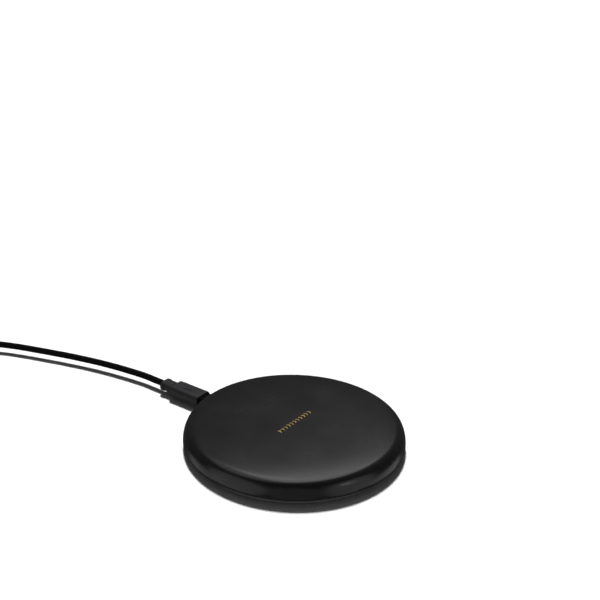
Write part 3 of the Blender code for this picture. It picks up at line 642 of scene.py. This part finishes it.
def make_plug_overmold():
    width, height = overmold_high.x * 2, overmold_high.z - overmold_low.z
    front, neck_end = overmold_low.y, overmold_high.y
    body = (width, height, 1.9 * MM)
    pocket = grown(COLLAR, 0.06 * MM)
    bore = round_section(CABLE_BORE)
    waist = grown(NECK, -0.3 * MM)
    stations = [(front + 3.2 * MM, pocket), (front, pocket)]
    stations += round_over(front, body, 0.45 * MM, +1)
    stations += reversed(round_over(NECK_START_Y, body, 1.5 * MM, -1, steps=8))
    stations += [
        (NECK_START_Y + 0.2 * MM, waist),
        (neck_end - 2.6 * MM, waist),
        (neck_end - 2.3 * MM, grown(NECK, -0.1 * MM)),
        (neck_end - 2.0 * MM, NECK),
    ]
    stations += reversed(round_over(neck_end, NECK, 0.7 * MM, -1))
    stations += [(neck_end, bore), (neck_end - 8 * MM, bore)]
    piece = loft("plug_body", stations, "mold", AXIS_Z)
    top = overmold_high.z
    for index in range(3):
        tool = chevron(f"arrow_{index}", front + (5.2 + 1.9 * index) * MM, 1.6 * MM, 0.7 * MM,
                       top - 0.18 * MM, top + 0.5 * MM)
        apply_boolean(piece, tool)
    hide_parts("plug_overmold")
    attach(piece, "plug")


def make_collar():
    """Inner mould between the overmould and the pad, near-black and almost without sheen: the mould's own
    black, and also painted shade for the deep gap there.
    """
    stations = [(collar_high.y, COLLAR_HOLE), (collar_low.y, COLLAR_HOLE)]
    stations += round_over(collar_low.y, COLLAR, 0.3 * MM, +1)
    stations += [(collar_high.y, COLLAR)]
    piece = loft("plug_collar", stations, "inner_mold", AXIS_Z, closed=True)
    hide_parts("plug_inner_mold")
    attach(piece, "plug")


# ---------------------------------------------------------------- cable

def waypoint(index):
    return Vector(CABLE_WAYPOINTS[index]) * MM


def cable_centreline(samples=14):
    """Points every millimetre or so: straight out of the plug, then through the waypoints."""
    last = len(CABLE_WAYPOINTS) - 1
    heading = Vector((math.cos(CABLE_END_HEADING), math.sin(CABLE_END_HEADING)))
    points = [Vector((0, y * MM)) for y in (72, 74, 76, 78, 80)]
    for index in range(last):
        start, end = waypoint(index), waypoint(index + 1)
        before = waypoint(index - 1) if index else start - Vector((0, CABLE_END_REACH))
        after = waypoint(index + 2) if index + 1 < last else end + CABLE_END_REACH * heading
        leave, arrive = (end - before) / 2, (after - start) / 2
        for sample in range(samples):
            t = sample / samples
            points.append(start * (2 * t ** 3 - 3 * t ** 2 + 1) + leave * (t ** 3 - 2 * t ** 2 + t)
                          + end * (3 * t ** 2 - 2 * t ** 3) + arrive * (t ** 3 - t ** 2))
    for step in range(6):
        points.append(waypoint(last) + heading * step * 2 * MM)
    return points


def sweep(name, points, radius, slot, sides=28):
    """A round cable along flat points at the plug's height."""
    rings = []
    for index, point in enumerate(points):
        ahead = points[min(index + 1, len(points) - 1)]
        behind = points[max(index - 1, 0)]
        heading = (ahead - behind).normalized()
        across = Vector((-heading.y, heading.x))
        ring = []
        for side in range(sides):
            angle = math.tau * side / sides
            spot = point + across * radius * math.cos(angle)
            ring.append((spot.x, spot.y, AXIS_Z + radius * math.sin(angle)))
        rings.append(ring)
    return add_piece(name, skin(rings), slot, smooth_angle=60)


def make_cable():
    """Four lengths, each spanning one hinge, that meet in the middle of the rigid stand-ins."""
    points = cable_centreline()
    stand_ins = (
        ("plug_cable_stub",),
        ("cable_near",),
        ("cable_mid",),
        ("cable_far", "usb_a_cable_stub"),
    )
    cuts = [0]
    for first, second in ((0, 2), (2, 4), (4, 6)):
        middle = waypoint((first + second) // 2)
        cuts.append(min(range(len(points)), key=lambda i: (points[i] - middle).length))
    cuts.append(len(points) - 1)
    for index, nodes in enumerate(stand_ins):
        piece = sweep(f"cable_{index + 1}", points[cuts[index]:cuts[index + 1] + 1], CABLE_RADIUS, "jacket")
        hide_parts(*nodes)
        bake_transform(piece)


# ---------------------------------------------------------------- plug at the far end

def place_far_plug(piece):
    """Carry a piece from the far plug's own frame to the end of the cable."""
    turn = Matrix.Rotation(CABLE_END_HEADING - PI / 2, 4, "Z")
    end = waypoint(len(CABLE_WAYPOINTS) - 1)
    piece.data.transform(Matrix.Translation((*end, AXIS_Z)) @ turn)


def make_far_plug():
    start, end = USB_BODY_Y
    pocket = grown(USB_SHELL, 0.08 * MM)
    stations = [
        (USB_NECK_START_Y + 8 * MM, round_section(CABLE_BORE)),
        (USB_NECK_START_Y, round_section(CABLE_BORE)),
        (USB_NECK_START_Y, round_section(USB_NECK_RADIUS - 0.5 * MM)),
        (USB_NECK_START_Y + 0.15 * MM, round_section(USB_NECK_RADIUS - 0.15 * MM)),
        (USB_NECK_START_Y + 0.5 * MM, round_section(USB_NECK_RADIUS)),
        (USB_NECK_START_Y + 1.4 * MM, round_section(USB_NECK_RADIUS)),
        (USB_NECK_START_Y + 1.7 * MM, round_section(USB_NECK_RADIUS - 0.25 * MM)),
        (start - 0.4 * MM, round_section(USB_NECK_RADIUS - 0.15 * MM)),
        (start, round_section(USB_NECK_RADIUS + 0.15 * MM)),
    ]
    stations += round_over(start, USB_BODY, 1.3 * MM, +1)
    stations += reversed(round_over(end, USB_BODY, 0.5 * MM, -1))
    stations += [(end, pocket), (end - 4 * MM, pocket)]
    body = loft("far_plug_body", stations, "mold")
    place_far_plug(body)
    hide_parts("usb_a_overmold")
    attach(body, "usb_a")

    tip = USB_SHELL_Y[1]
    inner = grown(USB_SHELL, -SHEET)
    shell_stations = [(USB_SHELL_Y[0], inner), (USB_SHELL_Y[0], USB_SHELL), (tip - 0.4 * MM, USB_SHELL),
                      (tip - 0.1 * MM, grown(USB_SHELL, -0.08 * MM)), (tip, grown(USB_SHELL, -0.2 * MM)),
                      (tip, inner)]
    shell = loft("far_plug_shell", shell_stations, "plated_steel", closed=True)
    for sign in (-1, 1):
        center = Vector((sign * USB_WINDOW_X, tip - 6.2 * MM))
        outline = [tuple(center + point) for point in rounded_ring(USB_WINDOW, 3)]
        apply_boolean(shell, prism(f"window_{sign}", outline, -4 * MM, 4 * MM))
    place_far_plug(shell)
    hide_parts("usb_a_shell")
    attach(shell, "usb_a")


# ---------------------------------------------------------------- carried-over CAD pieces

def dress_cad_nodes():
    """Give every CAD node that still shows the material of its slot."""
    slots = {entry["node"]: entry["material_slot"] for entry in frame["record"]["subparts"]}
    for name, node in frame["nodes"].items():
        node.data.materials.clear()
        node.data.materials.append(MATERIALS[slots[name]])


# ---------------------------------------------------------------- floor, light, camera

def make_floor():
    bm = bmesh.new()
    bmesh.ops.create_grid(bm, x_segments=1, y_segments=1, size=6.0)
    floor = add_piece("floor", bm, None)
    floor.location.z = -0.02 * MM
    surface = Surface("floor_paper", (0.86, 0.86, 0.865), 0.75, specular=0.2)
    surface.vary_color(60 * MM, 0.01)
    surface.emboss(surface.noise(1.2 * MM, 3.0), 0.02 * MM, 0.3)
    floor.data.materials.append(surface.material)
    floor.visible_glossy = False
    floor.visible_shadow = False


def towards(azimuth, tilt):
    """A direction from the pad. Azimuth 0 is the camera's side and 180 the far side, turning to the
    camera's left as it grows past 180; tilt is measured from overhead."""
    turn = CAMERA_AZIMUTH + math.radians(azimuth)
    flat = Vector((math.sin(turn), -math.cos(turn), 0)) * math.sin(math.radians(tilt))
    return flat + Vector((0, 0, math.cos(math.radians(tilt))))


def add_light(name, kind, direction, distance):
    data = bpy.data.lights.new(name, kind)
    light = bpy.data.objects.new(name, data)
    bpy.context.scene.collection.objects.link(light)
    light.location = direction * distance
    light.rotation_mode = "QUATERNION"
    light.rotation_quaternion = direction.to_track_quat("Z", "Y")
    return light


def make_world():
    """White to the camera, and dim to the pad, so that black plastic keeps its depth."""
    world = bpy.data.worlds.new("studio")
    bpy.context.scene.world = world
    world.use_nodes = True
    nodes, links = world.node_tree.nodes, world.node_tree.links
    seen = nodes["Background"]
    seen.inputs["Color"].default_value = (1, 1, 1, 1)
    lit = nodes.new("ShaderNodeBackground")
    lit.inputs["Color"].default_value = (0.98, 0.985, 1.0, 1)
    lit.inputs["Strength"].default_value = WORLD_DIM
    path = nodes.new("ShaderNodeLightPath")
    mix = nodes.new("ShaderNodeMixShader")
    links.new(path.outputs["Is Camera Ray"], mix.inputs[0])
    links.new(lit.outputs[0], mix.inputs[1])
    links.new(seen.outputs[0], mix.inputs[2])
    links.new(mix.outputs[0], nodes["World Output"].inputs["Surface"])


def make_lights():
    """A key that whitens the floor and casts the short shadow, and soft panels seen only as sheen."""
    make_world()
    key = add_light("key", "SUN", towards(*KEY_DIRECTION), 2.0)
    key.data.energy = KEY_STRENGTH
    key.data.angle = KEY_ANGLE
    key.visible_glossy = False
    for name, direction, size, radiance in FILLS:
        panel = add_light(name, "AREA", towards(*direction), FILL_DISTANCE)
        panel.data.shape = "ELLIPSE"
        panel.data.size, panel.data.size_y = size
        panel.data.energy = radiance * PI * (PI / 4 * size[0] * size[1])
        panel.visible_diffuse = False
        panel.visible_camera = False


def make_camera():
    data = bpy.data.cameras.new("camera")
    data.lens = CAMERA_LENS
    data.sensor_width = 36
    data.clip_start = 0.01
    data.clip_end = 30
    camera = bpy.data.objects.new("camera", data)
    bpy.context.scene.collection.objects.link(camera)
    back = Vector((
        math.sin(CAMERA_AZIMUTH) * math.cos(CAMERA_ELEVATION),
        -math.cos(CAMERA_AZIMUTH) * math.cos(CAMERA_ELEVATION),
        math.sin(CAMERA_ELEVATION),
    ))
    look = back.to_track_quat("Z", "Y").to_matrix() @ Matrix.Rotation(CAMERA_ROLL, 3, "Z")
    camera.matrix_world = Matrix.Translation(CAMERA_AIM + back * CAMERA_DISTANCE) @ look.to_4x4()
    bpy.context.scene.camera = camera


dress_cad_nodes()
make_top_cover()
make_base_cover()
make_grip_mat()
make_window()
make_center_mark()
make_plug_overmold()
make_collar()
make_cable()
make_far_plug()
make_floor()
make_lights()
make_camera()
bpy.context.scene.view_settings.view_transform = "Standard"
